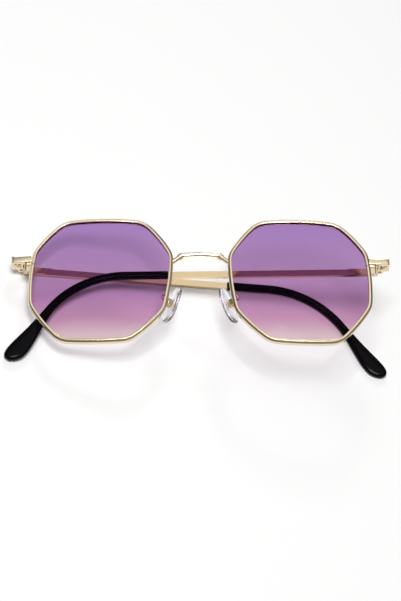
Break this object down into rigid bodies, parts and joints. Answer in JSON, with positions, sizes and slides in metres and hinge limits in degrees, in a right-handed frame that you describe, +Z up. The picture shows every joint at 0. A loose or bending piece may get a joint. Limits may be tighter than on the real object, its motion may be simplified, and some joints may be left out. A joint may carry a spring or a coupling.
{
  "type": "octagonal eyeglasses",
  "caption": "Folded metal glasses with eight-sided tinted lenses, a cranked bridge, clear nose pads on bent arms and glossy black ear tips.",
  "frame": {"origin": "on the table, under the middle of the folded glasses' box", "axes": "+Z up off the table and out of the lenses, +X along the front to the viewer's right, +Y towards the top of the lenses"},
  "size_m": [0.1398, 0.0526, 0.0323],
  "materials": {
    "front_metal": "polished pale gold plate",
    "temple_metal": "polished warm gold plate",
    "screw_metal": "polished",
    "tinted_lens": "clear, tinted violet at the top to pale pink below",
    "clear_silicone": "clear, soft gloss",
    "black_tip": "glossy"
  },
  "bodies": {
    "front": {"rim_left": "front_metal", "lens_left": "tinted_lens", "endpiece_left": "front_metal", "closing_block_upper_left": "front_metal", "closing_block_lower_left": "front_metal", "rim_screw_left": "screw_metal", "front_hinge_left": "front_metal", "hinge_screw_left": "screw_metal", "pad_box_left": "front_metal", "pad_arm_left": "front_metal", "rim_right": "front_metal", "lens_right": "tinted_lens", "endpiece_right": "front_metal", "closing_block_upper_right": "front_metal", "closing_block_lower_right": "front_metal", "rim_screw_right": "screw_metal", "front_hinge_right": "front_metal", "hinge_screw_right": "screw_metal", "pad_box_right": "front_metal", "pad_arm_right": "front_metal", "bridge": "front_metal"},
    "pad_left": {"nose_pad_left": "clear_silicone", "pad_insert_left": "front_metal", "pad_screw_left": "screw_metal"},
    "temple_left": {"temple_bar_left": "temple_metal", "temple_hinge_left": "temple_metal", "temple_tip_left": "black_tip"},
    "pad_right": {"nose_pad_right": "clear_silicone", "pad_insert_right": "front_metal", "pad_screw_right": "screw_metal"},
    "temple_right": {"temple_bar_right": "temple_metal", "temple_hinge_right": "temple_metal", "temple_tip_right": "black_tip"}
  },
  "joints": [
    {"name": "temple_left_fold", "type": "hinge", "parent": "front", "child": "temple_left", "pos_m": [-0.06599, 0.01107, 0.00365], "axis": [-0.0408, 0.9992, 0], "range_deg": [0, 83.4]},
    {"name": "temple_right_fold", "type": "hinge", "parent": "front", "child": "temple_right", "pos_m": [0.0614, 0.01107, 0.02747], "axis": [0.0288, -0.9996, -0.0022], "range_deg": [0, 90.35]},
    {"name": "pad_left_rock", "type": "hinge", "parent": "front", "child": "pad_left", "pos_m": [-0.01362, -0.00515, 0.01476], "axis": [-0.3594, 0.2612, -0.8959], "range_deg": [-8, 8]},
    {"name": "pad_right_rock", "type": "hinge", "parent": "front", "child": "pad_right", "pos_m": [0.00855, -0.00515, 0.01891], "axis": [-0.6589, -0.2612, 0.7055], "range_deg": [-8, 8]}
  ],
  "couplings": [
    {"joint": "temple_right_fold", "follows": "temple_left_fold", "ratio": 1.0833}
  ]
}
